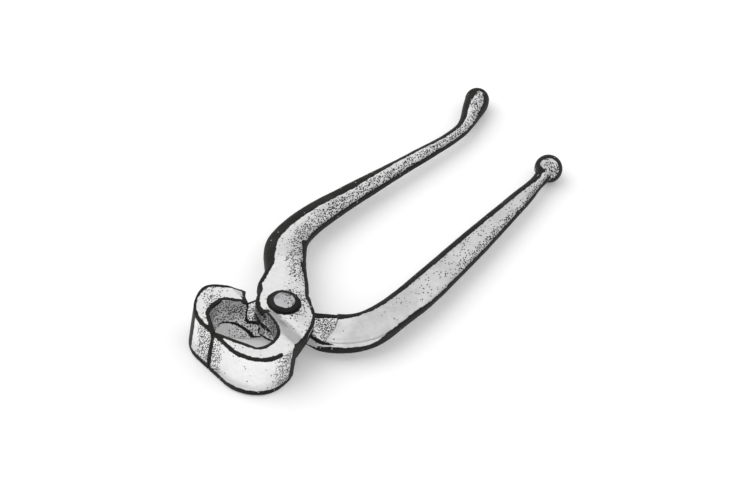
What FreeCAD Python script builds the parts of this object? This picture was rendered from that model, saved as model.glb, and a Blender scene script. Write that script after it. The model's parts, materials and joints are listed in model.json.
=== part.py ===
import FreeCAD, Part
import math
import os
from collections import namedtuple

from FreeCAD import Vector

# Blacksmith's pincer tongs: two forged levers that cross at a lap joint and turn on one rivet.
#
# Tool frame: the pivot is the origin, +Z is the pivot axis and Z = 0 is the plane between the
# two levers. +X runs along the reins, which are the handles. The front lever lies above the
# plane at the joint, with its rein on the +Y side and its jaw on the -Y side. The rear lever is
# drawn the same way round, and is then turned over about the X axis.
# Head frame: the tool frame turned about the pivot, so that the closed edges lie on -X.
# At the end the closed tool is laid on a bench, on the heels of its jaws and both rein ends.
#
# Lengths are in millimetres and angles in degrees.

# Head
head_turn = -9.5  # how far the head is set round from the line of the reins
jaw_reach = 55.5  # pivot to the flat front of the jaws
jaw_height = 29.5  # along the pivot axis
cheek_length = 22.0  # back from the front of the jaws to their deepest
jaw_gap = 0.2  # between the two edges, closed
edge_land = 2.0  # flat beside the edge, on the front of the jaws
edge_bevel = 27.0  # between the front and the bevel inside the mouth
mouth_back = 15.5  # pivot to the back of the mouth
mouth_length = 38.5
taper_start = 22.0  # the heel of the jaws, where they start to thin towards the joint

# Joint
boss_radius = 16.5
lap_thickness = 8.8
lap_gap = 0.1
root_clearance = 6.5  # between a boss and the far half of the jaw root beside it
boss_side = 40.0  # angle where the back of the head meets the boss
neck_shoulder = 32.5  # inside it each neck keeps to its own side of the joint
neck_height = 12.6
opening = 25.0  # how far the front lever turns on the rear one
rivet_radius = 5.0
rivet_running_clearance = 0.05
rivet_head_radius = 9.0
rivet_head_height = 3.2
rivet_seat_margin = 1.0  # of flat around the rivet's head
rivet_tail_radius = 8.2
rivet_tail_height = 2.4
rivet_rim = 1.0

# Rein ends
bulb_radius = 7.6
ball_radius = 8.7
rest_tilt = 1.4  # between the lap plane and the bench

FAR = 500.0
SECTION_POINTS = 24
CHEEK_STEPS = (0.0, 0.16, 0.52, 1.0)  # in shares of cheek_length
UP = Vector(0, 0, 1)
ORIGIN = Vector(0, 0, 0)

# One section of a neck or rein: its middle, its width across, its height and how boxy it is,
# from 2, an oval, upwards. rise is how far its middle stands off the lap plane. x and y are
# shares of the rein's length and bow, and the others are shares of the neck's width and height
# or, in the flare, of the diameter of the rein's end.
Section = namedtuple("Section", "x y width height rise box", defaults=(0.0, 2.0))

# length runs from the pivot to the middle of the rein's end, and bow is how far the rein stands
# out from the pivot at its widest.
Lever = namedtuple(
    "Lever",
    "side turn depth root wall cheek web neck_side bore length bow width sections flare end_radius",
)

FRONT = Lever(
    side=1,
    turn=head_turn,
    depth=24.5,  # of its half of the mouth
    root=0.0,  # angle at which a straight web closes the back of the mouth, or 0 for none
    wall=12.0,  # of the jaw, at its deepest
    cheek=(0.36, 0.72, 0.93),  # how full the jaw is, from its front back to its deepest
    web=((121.5, 2.436), (104.0, 1.776), (75.5, 1.333)),  # angle, and how far out in boss radii
    neck_side=94.0,  # angle that the other neck reaches to, closed
    bore=rivet_radius + rivet_running_clearance,
    length=235.5,
    bow=38.8,
    width=27.0,
    sections=[
        Section(0.0212, 0.103, 1.000, 1.000, 0.333, 4),
        Section(0.0870, 0.397, 0.963, 1.000, 0.294, 4),
        Section(0.1380, 0.649, 0.926, 1.000, 0.183, 3.4),
        Section(0.1911, 0.876, 0.907, 0.952, 0.079, 3),
        Section(0.2548, 0.985, 0.759, 0.889, 0.024, 2.8),
        Section(0.3397, 1.000, 0.685, 0.841, 0, 2.6),
        Section(0.4459, 0.941, 0.585, 0.794, 0, 2.4),
        Section(0.5520, 0.863, 0.496, 0.746, 0, 2.2),
        Section(0.6582, 0.784, 0.415, 0.698),
        Section(0.7558, 0.709, 0.348, 0.675),
        Section(0.8280, 0.668, 0.315, 0.659),
        Section(0.8790, 0.675, 0.319, 0.683),
    ],
    flare=[
        Section(0.9214, 0.745, 0.697, 0.684),
        Section(0.9597, 0.835, 0.895, 0.868),
        Section(1.0000, 0.943, 0.987, 0.987),
    ],
    end_radius=bulb_radius,
)

REAR = Lever(
    side=-1,
    turn=-head_turn,
    depth=17.5,
    root=46.0,
    wall=15.5,
    cheek=(0.27, 0.65, 0.88),
    web=((130.5, 1.850), (123.5, 1.400), (100.0, 1.085)),
    neck_side=102.0,
    bore=rivet_radius,
    length=217.0,
    bow=46.4,
    width=25.0,
    sections=[
        Section(0.0115, 0.129, 1.000, 1.000, 0.333, 4),
        Section(0.0424, 0.546, 0.984, 1.000, 0.294, 5),
        Section(0.0834, 0.806, 0.984, 1.000, 0.183, 4.4),
        Section(0.1400, 0.950, 0.944, 0.960, 0.079, 3.6),
        Section(0.2120, 0.987, 0.880, 0.889, 0.024, 2.8),
        Section(0.3041, 1.000, 0.880, 0.857, 0, 2.6),
        Section(0.4240, 0.970, 0.840, 0.825, 0, 2.5),
        Section(0.5484, 0.929, 0.768, 0.794, 0, 2.4),
        Section(0.6728, 0.886, 0.672, 0.762, 0, 2.2),
        Section(0.7834, 0.847, 0.560, 0.730),
        Section(0.8710, 0.813, 0.448, 0.698),
        Section(0.9355, 0.778, 0.356, 0.690),
    ],
    flare=[
        Section(0.9724, 0.748, 0.598, 0.586),
        Section(1.0000, 0.722, 0.690, 0.690),
    ],
    end_radius=ball_radius,
)


def turned(x, y, angle):
    c, s = math.cos(math.radians(angle)), math.sin(math.radians(angle))
    return x * c - y * s, x * s + y * c


def resting_rise(x, y, radius):
    """The height at which a ball's middle stands off the lap plane, when it lies on the bench."""
    along = turned(x, y, -head_turn)[0] + taper_start
    slope = math.radians(rest_tilt)
    return along * math.tan(slope) + radius / math.cos(slope) - jaw_height / 2


def solid_between(edges, low, high):
    face = Part.Face(Part.Wire(edges))
    face.translate(Vector(0, 0, low))
    return face.extrude(Vector(0, 0, high - low))


def polygon_edges(points):
    corners = [Vector(x, y, 0) for x, y in points]
    return [Part.LineSegment(a, b).toShape() for a, b in zip(corners, corners[1:] + corners[:1])]


def round_pivot(angle, radius):
    """A point in the head frame; angles run from the reins' side round to the jaw's front."""
    return Vector(*turned(radius, 0, -angle), 0)


def jaw_block(lever):
    """The whole of one jaw's side of the head, still without its half of the mouth."""
    out = lever.depth + lever.wall
    fullness = zip(CHEEK_STEPS, lever.cheek + (1.0,))
    cheek = [Vector(-jaw_reach + step * cheek_length, -full * out, 0) for step, full in fullness]
    web = [round_pivot(angle, radii * boss_radius) for angle, radii in lever.web]
    boss_end = round_pivot(boss_side, boss_radius)
    back = Part.BSplineCurve()
    back.interpolate(cheek + web + [boss_end])
    front_top = Vector(-jaw_reach, -jaw_gap / 2, 0)
    outline = [
        Part.LineSegment(front_top, back.StartPoint).toShape(),
        back.toShape(),
        Part.LineSegment(boss_end, ORIGIN).toShape(),
        Part.LineSegment(ORIGIN, front_top).toShape(),
    ]
    return solid_between(outline, -jaw_height / 2, jaw_height / 2)


def mouth(lever):
    """An upright oval hole, less the wedge that backs the edge of the jaw and the web at its root."""
    middle = Vector(-mouth_back - mouth_length / 2, 0, 0)
    half_axes = [Vector(0, lever.depth, 0), Vector(mouth_length / 2, 0, 0)]
    minor, major = sorted(half_axes, key=lambda half: half.Length)
    oval = Part.Ellipse(middle + major, middle + minor, middle).toShape()
    edge_x = -jaw_reach + edge_land
    run_x, run_y = turned(0, -FAR, edge_bevel)
    wedge = polygon_edges([
        (edge_x, FAR),
        (edge_x, 0),
        (edge_x + run_x, run_y),
        (-FAR, run_y),
        (-FAR, FAR),
    ])
    kept = [solid_between(wedge, -FAR, FAR)]
    if lever.root:
        web_x, web_y = turned(-FAR, 0, lever.root)
        web = [(-mouth_back, 0), (-mouth_back + web_x, web_y), (-mouth_back, web_y)]
        kept.append(solid_between(polygon_edges(web), -FAR, FAR))
    return solid_between([oval], -FAR, FAR).cut(kept)


def head_limits():
    """Seen from the side, the head is deepest at the jaws and thins towards the joint."""
    half, lap = jaw_height / 2, lap_thickness
    seat = rivet_head_radius + rivet_seat_margin
    corners = [(-FAR, half), (-taper_start, half), (-seat, lap), (FAR, lap)]
    outline = [Vector(x, -FAR, z) for x, z in corners + [(x, -z) for x, z in reversed(corners)]]
    face = Part.Face(Part.makePolygon(outline + outline[:1]))
    return face.extrude(Vector(0, 2 * FAR, 0))


def other_side(radius):
    """A round space on the far side of the lap plane."""
    return Part.makeCylinder(radius, FAR, Vector(0, 0, lap_gap / 2 - FAR))


def path_of_other_neck(angle):
    x, y = turned(FAR, 0, -angle)
    return solid_between(polygon_edges([(0, 0), (x, y), (FAR, -FAR), (FAR, 0)]), -FAR, lap_gap / 2)


def head(lever):
    boss = Part.makeCylinder(boss_radius, lap_thickness, ORIGIN)
    jaw = jaw_block(lever).cut(mouth(lever))
    root_space = other_side(boss_radius + root_clearance)
    shape = jaw.fuse(boss).common(head_limits())
    shape = shape.cut([root_space, path_of_other_neck(lever.neck_side + opening)])
    shape.rotate(ORIGIN, UP, lever.turn)
    return shape


def real_sections(lever):
    """Its sections at their real places and sizes, from the joint to the middle of its end."""
    ball = 2 * lever.end_radius
    measured = [(s, lever.width, neck_height) for s in lever.sections]
    measured += [(s, ball, ball) for s in lever.flare]
    sections = []
    for s, width, height in measured:
        size = (s.width * width, s.height * height, s.rise * height)
        sections.append(Section(s.x * lever.length, s.y * lever.bow, *size, s.box))
    return sections


def section_wire(section, heading, rise):
    points = []
    across_x, across_y = turned(0, -1, heading)
    for step in range(SECTION_POINTS):
        t = 2 * math.pi * step / SECTION_POINTS
        across = math.copysign(abs(math.cos(t)) ** (2 / section.box), math.cos(t)) * section.width / 2
        up = math.copysign(abs(math.sin(t)) ** (2 / section.box), math.sin(t)) * section.height / 2
        points.append(Vector(section.x + across * across_x, section.y + across * across_y, rise + up))
    curve = Part.BSplineCurve()
    curve.interpolate(points, PeriodicFlag=True)
    return Part.Wire(curve.toShape())


def rein(lever):
    """The neck and the rein, with sections square to the line through their middles."""
    sections = real_sections(lever)
    line = Part.BSplineCurve()
    line.interpolate([Vector(s.x, s.y, 0) for s in sections])
    end = sections[-1]
    end_rise = lever.side * resting_rise(end.x, lever.side * end.y, lever.end_radius)
    wires = []
    for section in sections:
        tangent = line.tangent(line.parameter(Vector(section.x, section.y, 0)))[0]
        heading = math.degrees(math.atan2(tangent.y, tangent.x))
        rise = section.rise + end_rise * (section.x / end.x) ** 2
        wires.append(section_wire(section, heading, rise))
    bar = Part.makeLoft(wires, True, False)
    limits = Part.makeBox(2 * FAR, 2 * FAR, 2 * lap_thickness, Vector(-FAR, -FAR, -lap_thickness))
    bar = bar.common(limits).cut(other_side(neck_shoulder))
    return bar.fuse(Part.makeSphere(lever.end_radius, Vector(end.x, end.y, end_rise)))


def make_lever(lever):
    bore = Part.makeCylinder(lever.bore, 2 * FAR, Vector(0, 0, -FAR))
    shape = head(lever).fuse(rein(lever)).cut(bore).removeSplitter()
    if lever.side < 0:
        shape.rotate(ORIGIN, Vector(1, 0, 0), 180)
    return shape


def rivet_cap(radius, height):
    """A low dome with an upright rim, standing on Z = 0."""
    crown = height - rivet_rim
    sphere = (radius ** 2 + crown ** 2) / (2 * crown)
    halfway = height - sphere + math.sqrt(sphere ** 2 - radius ** 2 / 4)
    rim = Vector(radius, 0, rivet_rim)
    top = Vector(0, 0, height)
    edges = [
        Part.LineSegment(ORIGIN, Vector(radius, 0, 0)).toShape(),
        Part.LineSegment(Vector(radius, 0, 0), rim).toShape(),
        Part.Arc(rim, Vector(radius / 2, 0, halfway), top).toShape(),
        Part.LineSegment(top, ORIGIN).toShape(),
    ]
    return Part.Face(Part.Wire(edges)).revolve(ORIGIN, UP, 360)


def make_rivet():
    """Set hard in the rear lever, it carries the front one on its shank."""
    top = lap_thickness + rivet_running_clearance
    shank = Part.makeCylinder(rivet_radius, top + lap_thickness, Vector(0, 0, -lap_thickness))
    head_cap = rivet_cap(rivet_head_radius, rivet_head_height)
    head_cap.translate(Vector(0, 0, top))
    tail_cap = rivet_cap(rivet_tail_radius, rivet_tail_height)
    tail_cap.rotate(ORIGIN, Vector(1, 0, 0), 180)
    tail_cap.translate(Vector(0, 0, -lap_thickness))
    return shank.fuse([head_cap, tail_cap]).removeSplitter()


def lay_on_bench(shapes):
    across = Vector(*turned(0, 1, head_turn), 0)
    for shape in shapes:
        shape.rotate(ORIGIN, across, rest_tilt)
    box = Part.makeCompound(shapes).optimalBoundingBox(False, False)
    for shape in shapes:
        shape.translate(Vector(-box.Center.x, -box.Center.y, -box.ZMin))
    return box


def main():
    parts = {
        "front_lever": make_lever(FRONT),
        "rear_lever": make_lever(REAR),
        "rivet": make_rivet(),
    }
    box = lay_on_bench(list(parts.values()))
    print("pivot in the part's frame:", -box.Center.x, -box.Center.y, -box.ZMin)
    os.makedirs("parts", exist_ok=True)
    for name, shape in parts.items():
        print(name, len(shape.Solids), shape.isValid(), round(shape.Volume))
        shape.exportStep("parts/" + name + ".step")


main()
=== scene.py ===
"""Blacksmith's pincer tongs, lying closed on a plain pale bench.

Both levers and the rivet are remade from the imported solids: remeshed evenly, their forged edges
rounded, and their surfaces hammered. Everything is in metres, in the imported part's frame.
"""

import json
import math
from types import SimpleNamespace

import bpy
import numpy as np
from mathutils import Matrix, Vector, noise


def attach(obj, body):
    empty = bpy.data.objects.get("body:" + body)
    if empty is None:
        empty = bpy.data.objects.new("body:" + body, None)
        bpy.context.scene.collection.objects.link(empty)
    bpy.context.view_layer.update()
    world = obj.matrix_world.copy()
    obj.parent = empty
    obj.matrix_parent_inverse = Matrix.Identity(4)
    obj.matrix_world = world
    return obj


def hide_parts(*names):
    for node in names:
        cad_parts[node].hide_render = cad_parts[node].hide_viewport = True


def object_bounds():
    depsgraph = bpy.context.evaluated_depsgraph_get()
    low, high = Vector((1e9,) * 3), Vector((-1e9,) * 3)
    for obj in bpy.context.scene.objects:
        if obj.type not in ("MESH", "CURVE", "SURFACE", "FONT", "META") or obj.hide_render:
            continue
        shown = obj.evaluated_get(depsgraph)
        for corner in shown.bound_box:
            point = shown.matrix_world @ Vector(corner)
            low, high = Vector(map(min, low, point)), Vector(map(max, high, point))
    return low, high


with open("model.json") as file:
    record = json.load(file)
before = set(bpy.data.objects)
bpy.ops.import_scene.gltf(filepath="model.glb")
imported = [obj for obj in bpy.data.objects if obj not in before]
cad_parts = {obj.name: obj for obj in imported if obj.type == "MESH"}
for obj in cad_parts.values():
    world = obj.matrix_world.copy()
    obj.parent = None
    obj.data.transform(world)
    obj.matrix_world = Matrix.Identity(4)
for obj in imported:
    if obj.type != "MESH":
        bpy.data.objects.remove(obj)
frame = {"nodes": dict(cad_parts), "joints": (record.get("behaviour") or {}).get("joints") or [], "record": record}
CAD_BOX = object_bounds()
MM = 0.001

# The tool's own frame: the pivot, its axis, the reins along X. The head is set round from them.
JOINT = frame["joints"][0]
PIVOT = Vector(JOINT["pos_m"])
AXIS = Vector(JOINT["axis"]).normalized()
ALONG = (Vector((1, 0, 0)) - AXIS * AXIS.x).normalized()
ACROSS = AXIS.cross(ALONG)
HEAD_TURN = math.radians(-9.5)
HEAD_ALONG = ALONG * math.cos(HEAD_TURN) + ACROSS * math.sin(HEAD_TURN)
HEAD_ACROSS = AXIS.cross(HEAD_ALONG)

JAW_REACH = 55.5 * MM  # pivot to the flat front of the jaws
MOUTH_MIDDLE = -35.0 * MM  # along the head
NECK_SHOULDER = 32.5 * MM  # pivot to the step from a lap up to its lever's full thickness
RIVET_HEAD = 9.0 * MM

LEVER_VOXEL = 0.5 * MM
RIVET_VOXEL = 0.28 * MM
EDGE_ROUNDS = 26  # of smoothing, for the edges that forging rounds
STEP_ROUNDS = 110  # for the soft step from the boss down to the front jaw
DISH, DISH_DEPTH = 8.5 * MM, 0.17 * MM  # a hammer mark
WAVE, WAVE_HEIGHT = 17 * MM, 0.16 * MM  # a forging's slow unevenness
LAP_ROOM = 0.06 * MM  # taken off each lap's face, so that hammered laps don't meet
LEVER_SEEDS = {"front_lever": 3.0, "rear_lever": 11.0}
SLICE = 1.5 * MM


# ---- Meshes -------------------------------------------------------------------------------

def even_copy(node, name, voxel):
    """A copy of a CAD node with small faces of one size, as a new object."""
    source = frame["nodes"][node]
    rough = bpy.data.objects.new(name + "_rough", source.data.copy())
    bpy.context.collection.objects.link(rough)
    remesh = rough.modifiers.new("even", "REMESH")
    remesh.mode = "VOXEL"
    remesh.voxel_size = voxel
    remesh.adaptivity = 0.0
    evaluated = rough.evaluated_get(bpy.context.evaluated_depsgraph_get())
    mesh = bpy.data.meshes.new_from_object(evaluated)
    mesh.name = name
    bpy.data.objects.remove(rough)
    mesh.materials.clear()
    piece = bpy.data.objects.new(name, mesh)
    bpy.context.collection.objects.link(piece)
    return piece


def corners(mesh):
    flat = np.empty(len(mesh.vertices) * 3)
    mesh.vertices.foreach_get("co", flat)
    return flat.reshape(-1, 3)


def edge_ends(mesh):
    flat = np.empty(len(mesh.edges) * 2, dtype=np.int64)
    mesh.edges.foreach_get("vertices", flat)
    return flat.reshape(-1, 2)


def put_back(mesh, points):
    mesh.vertices.foreach_set("co", points.ravel())
    mesh.update()


def normals(mesh):
    flat = np.empty(len(mesh.vertices) * 3)
    mesh.vertex_normals.foreach_get("vector", flat)
    return flat.reshape(-1, 3)


def neighbour_mean(values, ends):
    count = len(values)
    near = np.bincount(ends[:, 0], minlength=count) + np.bincount(ends[:, 1], minlength=count)
    near = np.maximum(near, 1)
    columns = values.reshape(count, -1)
    out = np.empty_like(columns)
    for k in range(columns.shape[1]):
        total = np.bincount(ends[:, 0], weights=columns[ends[:, 1], k], minlength=count)
        total += np.bincount(ends[:, 1], weights=columns[ends[:, 0], k], minlength=count)
        out[:, k] = total / near
    return out.reshape(values.shape)


def rounded(points, ends, weight, rounds):
    """Rounds edges and ripples and keeps the size: each round moves in and nearly all the way out."""
    share = weight[:, None]
    for _ in range(rounds):
        for step in (0.55, -0.57):
            points = points + step * share * (neighbour_mean(points, ends) - points)
    return points


def smoothstep(low, high, value):
    t = np.clip((value - low) / (high - low), 0, 1)
    return t * t * (3 - 2 * t)


def mm(*values):
    return tuple(value * MM for value in values)


def past(low, high, distance):
    """0 below low, 1 above high, and smooth between. Low and high are in mm, the distance in metres."""
    return smoothstep(low * MM, high * MM, distance)


def short_of(low, high, distance):
    return 1 - past(low, high, distance)


def tool_coordinates(points, along=ALONG, across=ACROSS):
    shifted = points - np.array(PIVOT)
    return shifted @ np.array(along), shifted @ np.array(across), shifted @ np.array(AXIS)


def set_attribute(mesh, name, values):
    attribute = mesh.attributes.new(name, "FLOAT", "POINT")
    attribute.data.foreach_set("value", np.ascontiguousarray(values, dtype=np.float32))


def relief(points, ends, outward, rounds):
    """How far each point stands out of its smoothed surroundings, along the normal."""
    smooth = points
    for _ in range(rounds):
        smooth = smooth + 0.6 * (neighbour_mean(smooth, ends) - smooth)
    return np.einsum("ij,ij->i", points - smooth, outward)


# ---- Levers -------------------------------------------------------------------------------

def hammer_marks(points, seed):
    """Shallow dishes left by the hammer, and the slow unevenness of a forging, in metres."""
    depth = np.empty(len(points))
    for k, point in enumerate(points):
        place = Vector(point)
        spread = Vector((place.x / DISH / 1.3, place.y / DISH, place.z / DISH))
        cell = noise.voronoi(spread + Vector((seed, 0, 0)))[0]
        slow = noise.noise(place / WAVE + Vector((0, seed, 0)))
        depth[k] = DISH_DEPTH * (min(cell[1] - cell[0], 0.45) - 0.25) + WAVE_HEIGHT * slow
    return depth


def forge_lever(node):
    piece = even_copy(node, node + "_forging", LEVER_VOXEL)
    mesh = piece.data
    points, ends = corners(mesh), edge_ends(mesh)
    x, y, z = tool_coordinates(points)
    head_x, head_y, _ = tool_coordinates(points, HEAD_ALONG, HEAD_ACROSS)
    radius = np.hypot(x, y)

    near_lap = short_of(-1, 5, radius - NECK_SHOULDER) * short_of(0.6, 2.2, np.abs(z))
    near_rivet = short_of(0.5, 2.5, radius - RIVET_HEAD)
    at_cutting_edge = short_of(2, 9, head_x + JAW_REACH)
    crisp = np.maximum.reduce([near_lap, near_rivet, 0.93 * at_cutting_edge])
    head_part = short_of(24, 40, np.hypot(head_x + 12 * MM, head_y))
    points = rounded(points, ends, np.full(len(points), 0.8), 3)
    points = rounded(points, ends, (1 - crisp) * (1 - 0.35 * head_part), EDGE_ROUNDS)
    put_back(mesh, points)

    outward = normals(mesh)
    sharp = relief(points, ends, outward, EDGE_ROUNDS)
    if node == "front_lever":
        # The boss runs down into the jaw in one soft slope, with no crease of its own.
        up = outward @ np.array(AXIS)
        at_step = past(-33, -26, head_x) * short_of(-11, -7, head_x)
        sharp = sharp * (1 - at_step * past(14, 16, -head_x) * smoothstep(0.80, 0.92, up))
        share = (0.7 * smoothstep(0.3, 0.6, up) * at_step * (1 - near_rivet))[:, None]
        for _ in range(STEP_ROUNDS):
            points = points + share * (neighbour_mean(points, ends) - points)
        put_back(mesh, points)

    outward = normals(mesh)
    forged = (1 - np.maximum(near_lap, near_rivet)) * (1 - 0.8 * at_cutting_edge)
    points = points + outward * (hammer_marks(points, LEVER_SEEDS[node]) * forged)[:, None]
    points = points - outward * (LAP_ROOM * near_lap)[:, None]
    put_back(mesh, points)
    mark_lever(mesh, node, sharp)
    mesh.shade_smooth()
    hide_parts(node)
    return piece


# ---- Where a lever is painted: black, painted shade and a painted highlight ----------------

END_LENGTH = {"front_lever": 24.0 * MM, "rear_lever": 18.0 * MM}  # the bulb, and the ball
CAMERA_FACING = (-0.60, -0.40, 0.70)  # the side of each end that faces the camera, left bright; the rest of each end is painted black as shade
SIDE = (0.68, -0.73)  # the way the head's rounded side faces, in its own frame

# Edges painted with black lines: two points in plan and half the width, in mm.
NECK_NOTCH = ((-9.6, 13.4), (0.3, 20.1), 1.4)
INNER_ELBOW = ((14.0, -8.0), (52.0, 25.5), 2.3)
BOSS_SIDE = ((6.0, -18.5), (14.0, -8.0), 1.4)
REAR_LAP_EDGE = ((12.0, -14.3), (21.8, -23.8), 1.6)
REAR_NECK_EDGE = ((18.5, -26.2), (28.0, -33.4), 2.1)
REAR_JAW_END = ((-13.5, 20.0), (-19.3, 10.5), 2.0)  # in the head's frame
REAR_RIM_PITS = ((-34.0, 25.5), (-46.0, 11.0), 3.0)  # in the head's frame
LINE_FADE = 0.6  # mm past the half width
PITS_FADE = 3.5

# The rear jaw's wall is worn under an arch: its top and its middle along the head, and how fast it falls.
ARCH_TOP, ARCH_MIDDLE, ARCH_FALL = -2.8 * MM, -28.5 * MM, 87.5

LIP_ROUNDS = 24  # how far a wall's edge is felt on the face above it
PITS_ROUNDS = 6
DULL_ROUNDS = 12


def beside_line(x, y, line, fade=LINE_FADE):
    """1 beside the straight line between two points in plan, and 0 away from it."""
    start, end, half_width = mm(*line[0]), mm(*line[1]), line[2]
    run_x, run_y = end[0] - start[0], end[1] - start[1]
    share = np.clip(((x - start[0]) * run_x + (y - start[1]) * run_y) / (run_x ** 2 + run_y ** 2), 0, 1)
    distance = np.hypot(x - start[0] - share * run_x, y - start[1] - share * run_y)
    return short_of(half_width, half_width + fade, distance)


class Surface:
    """Where each point of a lever is, which way it faces, and which part of the lever it is on."""

    def __init__(self, mesh, node):
        points, outward = corners(mesh), normals(mesh)
        self.ends = edge_ends(mesh)
        self.x, self.y, self.z = tool_coordinates(points)
        self.head_x, self.head_y, _ = tool_coordinates(points, HEAD_ALONG, HEAD_ACROSS)
        self.radius = np.hypot(self.x, self.y)
        self.up, self.over = outward @ np.array(AXIS), outward @ np.array(ACROSS)
        self.forward, to_side = outward @ np.array(HEAD_ALONG), outward @ np.array(HEAD_ACROSS)
        self.sideways = self.forward * SIDE[0] + to_side * SIDE[1]
        self.to_camera_facing = outward @ np.array(ALONG * CAMERA_FACING[0] + ACROSS * CAMERA_FACING[1] + AXIS * CAMERA_FACING[2])

        low_y, high_y, slope = self.followed(self.y)
        low_z, high_z, _ = self.followed(self.z)
        self.across, self.height = (self.y - low_y) / (high_y - low_y), (self.z - low_z) / (high_z - low_z)
        self.from_far = (high_y - self.y) / np.hypot(1, slope)

        self.in_head = short_of(-8, 0, self.head_x)
        self.on_rein = past(34, 44, self.radius) * (1 - self.in_head)
        self.at_end = smoothstep(-END_LENGTH[node], 5 * MM - END_LENGTH[node], self.x - self.x.max())
        self.wall = self.in_head * (1 - smoothstep(0.4, 0.8, np.abs(self.up)))
        to_mouth = (MOUTH_MIDDLE - self.head_x) * self.forward - self.head_y * to_side
        from_mouth = np.hypot(MOUTH_MIDDLE - self.head_x, self.head_y)
        self.inside = self.wall * smoothstep(0, 0.5, to_mouth / from_mouth)
        self.front = self.wall * (1 - self.inside) * smoothstep(0.6, 0.9, -self.forward)
        self.outer = self.wall * (1 - self.inside) * (1 - self.front)
        self.on_top = smoothstep(0.6, 0.8, self.up) * past(5, 6, self.z)

    def followed(self, value):
        """The lowest value, the highest, and the highest's slope, at each point, as they change along X."""
        steps = np.floor((self.x - self.x.min()) / SLICE).astype(int)
        low, high = np.full(steps.max() + 1, 1.0), np.full(steps.max() + 1, -1.0)
        np.minimum.at(low, steps, value)
        np.maximum.at(high, steps, value)
        middles = self.x.min() + SLICE * (np.arange(len(low)) + 0.5)
        return [np.interp(self.x, middles, row) for row in (low, high, np.gradient(high, SLICE))]

    def spread(self, mask, rounds):
        for _ in range(rounds):
            mask = neighbour_mean(mask, self.ends)
        return mask


def front_finish(at, edge, crease_shade):
    """What only the front lever has. Edge is black painted along edges, and the crease mask is painted shade in
    creases.
    """
    rubbed = past(-34, -31.5, at.head_x) * short_of(-24, -21.5, at.head_x)
    edges = (NECK_NOTCH, INNER_ELBOW, BOSS_SIDE)
    lines = np.maximum.reduce([beside_line(at.x, at.y, line) for line in edges])
    highlight_strip_width = np.interp(at.x, mm(25, 80), mm(17, 8))
    return SimpleNamespace(
        edge=edge * (1 - rubbed * past(22, 26, -at.head_y) * past(6, 9, at.z)),
        crease_shade=crease_shade,
        lines=past(3, 4, at.z) * lines,
        # Painted shade: a black band where the jaw's outer wall turns edge-on to the camera.
        side=at.outer * smoothstep(0.86, 0.90, at.sideways),
        far_width=np.interp(at.x, mm(15, 32, 110, 150), mm(3.4, 7.6, 7.6, 4.2)),
        bare_end=0.0,
        near_seam=at.front * short_of(5, 11, -at.head_y),
        # Painted shade: a stipple of pits on the rein's near side.
        rein_shade_pits=1 - smoothstep(0.34, 0.58, at.across),
        rim_pits=np.zeros(len(at.x)),
        sparse=0.0,
        # Painted highlight: the rein's far strip is kept clear of the painted grey.
        painted_highlight_strip=short_of(-2, 2, at.from_far - highlight_strip_width),
        worn=0.0,
    )


def rear_finish(at, edge, crease_shade):
    """What only the rear lever has. Edge is black painted along edges, and the crease mask is painted shade in
    creases.
    """
    rubbed = short_of(5, 7, np.abs(at.radius - NECK_SHOULDER)) * past(-43, -41, at.y)
    arch = ARCH_TOP - ARCH_FALL * (at.head_x - ARCH_MIDDLE) ** 2 - at.z
    arch_width = np.interp(at.head_x, mm(-28, -19), mm(0.8, 1.9))
    worn = at.inside * past(0.4, 1.0, arch)
    edge = edge * (1 - rubbed * past(0, 1, at.z)) * (1 - worn)

    jaw_end = beside_line(at.head_x, at.head_y, REAR_JAW_END) * smoothstep(0.3, 0.5, at.up)
    jaw_end = jaw_end * past(3, 4, at.z)
    far_rim = smoothstep(0.06, 0.11, at.spread(at.outer, LIP_ROUNDS)) * at.on_top
    far_rim = far_rim * past(-40, -36, at.head_x) * past(10, 15, at.head_y)
    lap_edge = beside_line(at.x, at.y, REAR_LAP_EDGE) * smoothstep(0.0, 0.3, at.up)
    lap_edge = lap_edge * short_of(2, 4, np.abs(at.z))
    neck_edge = beside_line(at.x, at.y, REAR_NECK_EDGE) * past(1, 2, at.z)
    facing_back = smoothstep(0.87, 0.91, -at.sideways) * smoothstep(0.38, 0.68, -at.forward)
    rim_pits = beside_line(at.head_x, at.head_y, REAR_RIM_PITS, PITS_FADE) * smoothstep(0.7, 0.9, at.up)
    return SimpleNamespace(
        edge=np.maximum(edge, at.inside * short_of(-0.25, 0.25, np.abs(arch) - arch_width)),
        crease_shade=crease_shade * (1 - rubbed),
        lines=np.maximum.reduce([jaw_end, far_rim, lap_edge, neck_edge]),
        # Painted shade: a black band where the jaw's outer wall turns edge-on to the camera.
        side=at.wall * (1 - at.inside) * facing_back,
        far_width=np.interp(at.x, mm(20.5, 22, 34), mm(-1.0, 2.6, 5.2)),
        bare_end=at.at_end,
        near_seam=at.front * short_of(8, 14, at.head_y),
        # Painted shade: a stipple of pits on the rein's near side, towards its end.
        rein_shade_pits=(1 - smoothstep(0.14, 0.34, at.across)) * past(85, 120, at.x),
        rim_pits=at.in_head * rim_pits,
        sparse=0.10 * past(45, 70, at.x),
        painted_highlight_strip=0.0,
        worn=worn,
    )


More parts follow.
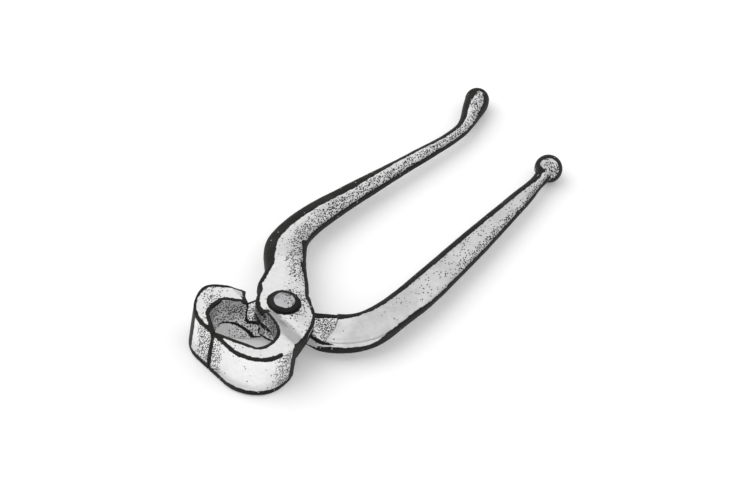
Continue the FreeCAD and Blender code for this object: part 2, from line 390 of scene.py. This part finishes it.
def mark_lever(mesh, node, sharp):
    """Where the colour differs: black painted along edges and seams, painted shade as black in creases and on
    flanks, as a stipple of pits and as duller grey, and a painted highlight strip.
    """
    at = Surface(mesh, node)
    edge = past(0.05, 0.15, sharp) * (1 - at.on_rein)
    # Painted shade: black in the creases.
    crease_shade = past(0.06, 0.22, -sharp)
    own = front_finish(at, edge, crease_shade) if node == "front_lever" else rear_finish(at, edge, crease_shade)

    # Painted shade: black bands along the reins' near lower flank and far edge, and over the ends except their
    # side facing the camera.
    near_height = np.interp(at.x, mm(18, 30, 60, 72), (0.60, 0.84, 0.80, 0.76))
    near_band = smoothstep(0.1, 0.35, -at.over) * (1 - smoothstep(-0.05, 0.05, at.height - near_height))
    far_band = short_of(-0.4, 0.4, at.from_far - own.far_width)
    end_band = at.at_end * (1 - smoothstep(0.66, 0.75, at.to_camera_facing))
    band = np.maximum(np.maximum(near_band, far_band) * (1 - own.bare_end), end_band)
    # Black painted along edges, lines, the mouth's rim, the seam, the jaws' foot and round the rivet, and as
    # painted shade in creases, on the walls' edge-on sides and on the reins' flanks.
    dark_lines_and_painted_shade = np.maximum.reduce([
        own.edge,
        own.crease_shade,
        own.lines,
        own.side,
        smoothstep(0.04, 0.08, at.spread(at.inside, LIP_ROUNDS)) * at.on_top,  # the mouth's rim
        at.front * short_of(0.5, 1.2, np.abs(at.head_y)),  # where the jaws meet
        (at.front + at.outer) * short_of(3.2, 4.2, at.z - at.z.min()),  # the jaws' foot
        smoothstep(0.7, 0.9, at.up) * short_of(10.0, 10.6, at.radius),  # round the rivet's head
        band * (1 - at.in_head) * past(16, 22, at.radius),
    ])

    beside_rivet = short_of(11, 16, at.radius) * smoothstep(-0.2, 0.8, (at.x - at.y) / at.radius)
    on_lap = short_of(-1, 1, at.radius - NECK_SHOULDER) * short_of(0.5, 1.5, np.abs(at.z))
    wall_pits = 1 - own.worn * (1 - 0.6 * past(-30, -24, at.head_x))
    # Painted shade as a stipple of pits: thickest by the seam, in the mouth, on the walls' turning sides, beside
    # the rivet, on the lap, on the reins' near side and on the ends.
    pits_and_painted_shade = np.maximum.reduce([
        1.40 * own.near_seam,
        0.80 * at.inside * wall_pits,
        1.20 * at.outer * smoothstep(0.45, 0.95, np.abs(at.sideways)),
        1.00 * beside_rivet,
        0.80 * on_lap,
        0.80 * own.rim_pits,
        0.95 * own.rein_shade_pits * (1 - at.in_head) * past(16, 30, at.radius),
        0.95 * at.at_end * (1 - smoothstep(0.45, 0.75, at.across)),
        own.sparse * at.on_rein,
    ])
    # Painted shade as duller grey: over the reins but for their painted highlight strip, in the mouth, low on the
    # walls, and on the reins' near side and near flank.
    dullness_and_painted_shade = np.maximum.reduce([
        0.75 * at.on_rein * (1 - own.painted_highlight_strip),
        0.3 * at.inside * (1 - own.worn),
        0.8 * (at.front + at.outer) * past(5, 9, -at.z),
        0.9 * (1 - at.in_head) * smoothstep(0.2, 0.8, -at.over),
        0.5 * (1 - at.in_head) * smoothstep(0.35, 0.75, 1 - at.across),
    ])
    for _ in range(PITS_ROUNDS):
        dark_lines_and_painted_shade = 0.5 * dark_lines_and_painted_shade + 0.5 * neighbour_mean(dark_lines_and_painted_shade, at.ends)
    set_attribute(mesh, "dark_lines_and_painted_shade", dark_lines_and_painted_shade)
    set_attribute(mesh, "pits_and_painted_shade", at.spread(pits_and_painted_shade, PITS_ROUNDS))
    set_attribute(mesh, "dullness_and_painted_shade", at.spread(dullness_and_painted_shade, DULL_ROUNDS))


# ---- Rivet --------------------------------------------------------------------------------

BLOW_WIDTH = 3.6 * MM
BLOW_DEPTH = 0.34 * MM
RIM_BLOWS = [(0.4 + 1.26 * k, (5.6 + 0.5 * math.sin(3.1 * k)) * MM) for k in range(5)]
BLOWS = RIM_BLOWS + [(1.0, 1.2 * MM)]  # angle, and distance from the middle


def facet_depth(x, y):
    """How far a domed end is knocked in at this point by the hammer's flat blows."""
    depths = [1.0 - math.hypot(x - math.cos(angle) * reach, y - math.sin(angle) * reach) / BLOW_WIDTH
              for angle, reach in BLOWS]
    return max(0.0, *depths)


def forge_rivet():
    piece = even_copy("rivet", "rivet_forging", RIVET_VOXEL)
    mesh = piece.data
    points, ends = corners(mesh), edge_ends(mesh)
    points = rounded(points, ends, np.full(len(points), 1.0), 8)
    put_back(mesh, points)
    outward = normals(mesh)
    x, y, z = tool_coordinates(points)
    on_ends = np.maximum(past(-3.0, -2.2, z - z.max()), short_of(1.4, 2.2, z - z.min()))
    depth = np.array([facet_depth(a, b) for a, b in zip(x, y)])
    points = points - outward * (BLOW_DEPTH * smoothstep(0, 0.8, depth) * on_ends)[:, None]
    points = rounded(points, ends, np.full(len(points), 1.0), 4)
    put_back(mesh, points)

    points, outward = corners(mesh), normals(mesh)
    fine = relief(points, ends, outward, 14)
    x, y, z = tool_coordinates(points)
    ring = past(5.9, 6.6, np.hypot(x, y))
    # Black at the head's rim, and as painted shade in the hammer facets' creases; pits as painted shade on one
    # side.
    set_attribute(mesh, "dark_lines_and_painted_shade", np.maximum(ring, past(0.02, 0.2, -fine)))
    set_attribute(mesh, "pits_and_painted_shade", 0.5 * past(-3, 4, x - y))
    set_attribute(mesh, "dullness_and_painted_shade", np.full(len(points), 0.6))
    mesh.shade_smooth()
    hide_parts("rivet")
    return piece


# ---- Materials ----------------------------------------------------------------------------

class Nodes:
    """A material's node tree, with short ways to add to it."""

    def __init__(self, name):
        self.material = bpy.data.materials.new(name)
        self.material.use_nodes = True
        self.tree = self.material.node_tree
        self.shader = self.tree.nodes["Principled BSDF"]
        self.place = self.tree.nodes.new("ShaderNodeTexCoord").outputs["Object"]

    def link(self, value, socket):
        if isinstance(value, (int, float, tuple)):
            socket.default_value = value
        else:
            self.tree.links.new(value, socket)

    def math(self, operation, a, b, clamp=False):
        node = self.tree.nodes.new("ShaderNodeMath")
        node.operation = operation
        node.use_clamp = clamp
        self.link(a, node.inputs[0])
        self.link(b, node.inputs[1])
        return node.outputs[0]

    def attribute(self, name):
        node = self.tree.nodes.new("ShaderNodeAttribute")
        node.attribute_name = name
        return node.outputs["Fac"]

    def noise(self, size, detail, roughness):
        node = self.tree.nodes.new("ShaderNodeTexNoise")
        node.inputs["Scale"].default_value = 1 / size
        node.inputs["Detail"].default_value = detail
        node.inputs["Roughness"].default_value = roughness
        self.link(self.place, node.inputs["Vector"])
        return node.outputs["Fac"]

    def dots(self, size, radius, density):
        """Round spots of that radius, in cells, in as many of the cells as density says."""
        cells = self.tree.nodes.new("ShaderNodeTexVoronoi")
        cells.inputs["Scale"].default_value = 1 / size
        self.link(self.place, cells.inputs["Vector"])
        lot = self.tree.nodes.new("ShaderNodeSeparateColor")
        self.link(cells.outputs["Color"], lot.inputs[0])
        spot = self.between(cells.outputs["Distance"], radius, radius - 0.12)
        return self.math("MULTIPLY", spot, self.math("LESS_THAN", lot.outputs[0], density))

    def between(self, value, low, high, to_low=0.0, to_high=1.0):
        node = self.tree.nodes.new("ShaderNodeMapRange")
        node.interpolation_type = "SMOOTHSTEP"
        for socket, setting in zip(node.inputs, (value, low, high, to_low, to_high)):
            self.link(setting, socket)
        return node.outputs[0]

    def blend(self, factor, a, b):
        node = self.tree.nodes.new("ShaderNodeMix")
        node.data_type = "RGBA"
        self.link(factor, node.inputs["Factor"])
        self.link(a, node.inputs[6])
        self.link(b, node.inputs[7])
        return node.outputs[2]

    def bump(self, height, distance, strength, normal=None):
        node = self.tree.nodes.new("ShaderNodeBump")
        node.inputs["Distance"].default_value = distance
        node.inputs["Strength"].default_value = strength
        self.link(height, node.inputs["Height"])
        if normal is not None:
            self.link(normal, node.inputs["Normal"])
        return node.outputs["Normal"]


PIT_CELL = 0.95 * MM
BIG_PIT_CELL = 1.7 * MM
CHIP_CELL, CHIPPED = 1.1 * MM, 0.02  # gaps in the black lines, and in how many of the cells
STRAY_PITS = 0.012
FADED = 2.4  # how much paler the black is in some patches


def steel(name, bright, worn, scale_and_shade_black):
    """Forged steel, bright, with black painted along its edges and in its pits, and painted shade as black, pits
    and duller grey where its attributes say.
    """
    n = Nodes(name)
    dark_lines_and_painted_shade, pits_and_painted_shade, dullness_and_painted_shade = n.attribute("dark_lines_and_painted_shade"), n.attribute("pits_and_painted_shade"), n.attribute("dullness_and_painted_shade")
    patches = n.noise(13 * MM, 4.0, 0.6)
    mottle = n.noise(2.6 * MM, 4.0, 0.6)
    grain = n.noise(0.4 * MM, 2.0, 0.7)

    density = n.math("ADD", pits_and_painted_shade, n.math("MULTIPLY", pits_and_painted_shade, n.between(patches, 0.3, 0.7, -0.35, 0.35)))
    density = n.math("ADD", density, STRAY_PITS)
    pits = n.dots(PIT_CELL, 0.52, density)
    big_pits = n.dots(BIG_PIT_CELL, 0.34, n.math("MULTIPLY", density, 0.30))
    pits = n.math("MAXIMUM", pits, big_pits)
    ragged = n.math("ADD", dark_lines_and_painted_shade, n.between(mottle, 0.25, 0.75, -0.20, 0.20))
    chips = n.dots(CHIP_CELL, 0.36, CHIPPED)
    lines = n.math("MULTIPLY", n.between(ragged, 0.40, 0.58), n.math("SUBTRACT", 1.0, chips))
    dark = n.math("MAXIMUM", pits, lines)

    # Painted shade: the duller grey metal colour is blended in by the attribute, with random patches.
    shade = n.math("MULTIPLY", dullness_and_painted_shade, n.between(patches, 0.25, 0.75, 0.55, 1.0))
    shade = n.math("ADD", shade, n.between(mottle, 0.3, 0.8, 0.0, 0.22), clamp=True)
    metal = n.blend(shade, bright, worn)
    faded = tuple(FADED * part for part in scale_and_shade_black[:3]) + (1,)
    scale_and_shade_black = n.blend(n.between(patches, 0.42, 0.72), scale_and_shade_black, faded)
    n.link(n.blend(dark, metal, scale_and_shade_black), n.shader.inputs["Base Color"])
    n.link(n.math("SUBTRACT", 1.0, n.math("MULTIPLY", dark, 0.9)), n.shader.inputs["Metallic"])
    rough = n.between(n.math("ADD", patches, n.math("MULTIPLY", mottle, 0.5)), 0.5, 1.0, 0.26, 0.38)
    n.link(n.math("ADD", rough, n.math("MULTIPLY", dark, 0.30)), n.shader.inputs["Roughness"])
    fine = n.bump(grain, 0.06 * MM, 0.25)
    rolled = n.bump(mottle, 0.25 * MM, 0.35, fine)
    n.shader.inputs["Specular IOR Level"].default_value = 0.2
    n.link(n.bump(n.math("SUBTRACT", 1.0, pits), 0.20 * MM, 0.6, rolled), n.shader.inputs["Normal"])
    return n.material


# ---- Stage --------------------------------------------------------------------------------

FLOOR_HALF = 4.0
FLOOR_GREY = 0.80
FLOOR_LIFT = 0.17  # from that grey, as it is lit here, to white
KEY_FROM = (-0.55, 0.75, 0.95)
KEY_STRENGTH = 1.35
KEY_ANGLE = math.radians(65)
WORLD_BANDS = ((0.0, 0.30), (0.26, 0.46), (0.45, 0.86), (0.75, 1.0), (0.99, 0.85))  # sine of height, level


def make_floor():
    """A pale bench. What the camera and reflections see of it is lifted to white, with its shadows."""
    mesh = bpy.data.meshes.new("bench")
    low = CAD_BOX[0][2]
    rim = [(x * FLOOR_HALF, y * FLOOR_HALF, low) for x, y in ((-1, -1), (1, -1), (1, 1), (-1, 1))]
    mesh.from_pydata(rim, [], [(0, 1, 2, 3)])
    floor = bpy.data.objects.new("bench", mesh)
    bpy.context.collection.objects.link(floor)
    material = bpy.data.materials.new("bench")
    material.use_nodes = True
    tree = material.node_tree
    shader = tree.nodes["Principled BSDF"]
    shader.inputs["Base Color"].default_value = (FLOOR_GREY, FLOOR_GREY, FLOOR_GREY, 1)
    shader.inputs["Roughness"].default_value = 0.9
    shader.inputs["Specular IOR Level"].default_value = 0.1
    shader.inputs["Emission Color"].default_value = (1, 1, 1, 1)
    path = tree.nodes.new("ShaderNodeLightPath")
    seen = path.outputs["Is Camera Ray"]
    for other in ("Is Glossy Ray", "Is Transmission Ray"):
        add = tree.nodes.new("ShaderNodeMath")
        add.operation = "MAXIMUM"
        tree.links.new(seen, add.inputs[0])
        tree.links.new(path.outputs[other], add.inputs[1])
        seen = add.outputs[0]
    lift = tree.nodes.new("ShaderNodeMath")
    lift.operation = "MULTIPLY"
    lift.inputs[1].default_value = FLOOR_LIFT
    tree.links.new(seen, lift.inputs[0])
    tree.links.new(lift.outputs[0], shader.inputs["Emission Strength"])
    mesh.materials.append(material)


def add_key():
    """One broad, even light from the back left, for the shadow. Bright metal mirrors only the room."""
    data = bpy.data.lights.new("key", "SUN")
    data.energy = KEY_STRENGTH
    data.angle = KEY_ANGLE
    key = bpy.data.objects.new("key", data)
    bpy.context.collection.objects.link(key)
    key.visible_glossy = False
    key.rotation_euler = (-Vector(KEY_FROM)).to_track_quat("-Z", "Y").to_euler()


def make_world():
    """Pale walls and ceiling with a darker stretch at eye level. Seen directly, it is white."""
    world = bpy.data.worlds.new("studio")
    bpy.context.scene.world = world
    world.use_nodes = True
    tree = world.node_tree
    place = tree.nodes.new("ShaderNodeTexCoord")
    split = tree.nodes.new("ShaderNodeSeparateXYZ")
    tree.links.new(place.outputs["Generated"], split.inputs[0])
    ramp = tree.nodes.new("ShaderNodeValToRGB")
    bands = ramp.color_ramp.elements
    for height, level in WORLD_BANDS:
        band = bands.new(height)
        band.color = (level, level, level, 1)
    bands.remove(bands[0])
    bands.remove(bands[-1])
    tree.links.new(split.outputs["Z"], ramp.inputs["Fac"])
    lit = tree.nodes["Background"]
    tree.links.new(ramp.outputs["Color"], lit.inputs["Color"])
    seen = tree.nodes.new("ShaderNodeBackground")
    seen.inputs["Color"].default_value = (1, 1, 1, 1)
    path = tree.nodes.new("ShaderNodeLightPath")
    mix = tree.nodes.new("ShaderNodeMixShader")
    tree.links.new(path.outputs["Is Camera Ray"], mix.inputs[0])
    tree.links.new(lit.outputs[0], mix.inputs[1])
    tree.links.new(seen.outputs[0], mix.inputs[2])
    tree.links.new(mix.outputs[0], tree.nodes["World Output"].inputs["Surface"])


# The camera's angles are about the pivot, in the tool's own frame.
CAMERA_AZIMUTH = math.radians(-56.7)
CAMERA_ELEVATION = math.radians(44.0)
CAMERA_ROLL = math.radians(9.0)
CAMERA_DISTANCE = 2.637
CAMERA_LENS = 216.0
AIM_RIGHT, AIM_UP = 0.0543, 0.0371  # from the pivot to the middle of the picture


def make_camera():
    turn, rise = CAMERA_AZIMUTH, CAMERA_ELEVATION
    level = ALONG * math.cos(turn) + ACROSS * math.sin(turn)
    toward = ALONG * math.sin(turn) - ACROSS * math.cos(turn)
    back = toward * math.cos(rise) + AXIS * math.sin(rise)
    upright = AXIS * math.cos(rise) - toward * math.sin(rise)
    right = level * math.cos(CAMERA_ROLL) + upright * math.sin(CAMERA_ROLL)
    up = upright * math.cos(CAMERA_ROLL) - level * math.sin(CAMERA_ROLL)
    place = PIVOT + back * CAMERA_DISTANCE
    aim = PIVOT + right * AIM_RIGHT + up * AIM_UP
    away = (place - aim).normalized()
    side = up.cross(away).normalized()
    data = bpy.data.cameras.new("camera")
    data.lens = CAMERA_LENS
    data.sensor_width = 36.0
    data.clip_end = 50.0
    camera = bpy.data.objects.new("camera", data)
    bpy.context.collection.objects.link(camera)
    axes = Matrix((side, away.cross(side), away)).transposed().to_4x4()
    camera.matrix_world = Matrix.Translation(place) @ axes
    bpy.context.scene.camera = camera


# ---- Assembly -----------------------------------------------------------------------------

def body_of(node):
    return next(name for name, nodes in frame["record"]["behaviour"]["bodies"].items() if node in nodes)


bpy.context.scene.view_settings.view_transform = "Standard"
# The second grey is the duller tone that also paints shade; the black paints edges, pits and shade.
forged = steel("forged_steel", (0.87, 0.87, 0.87, 1), (0.55, 0.55, 0.56, 1), (0.010, 0.010, 0.009, 1))
hammered = steel("rivet_steel", (0.66, 0.66, 0.67, 1), (0.46, 0.46, 0.47, 1), (0.009, 0.009, 0.009, 1))
for node in ("front_lever", "rear_lever"):
    lever = forge_lever(node)
    lever.data.materials.append(forged)
    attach(lever, body_of(node))
rivet = forge_rivet()
rivet.data.materials.append(hammered)
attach(rivet, body_of("rivet"))

make_floor()
make_world()
add_key()
make_camera()
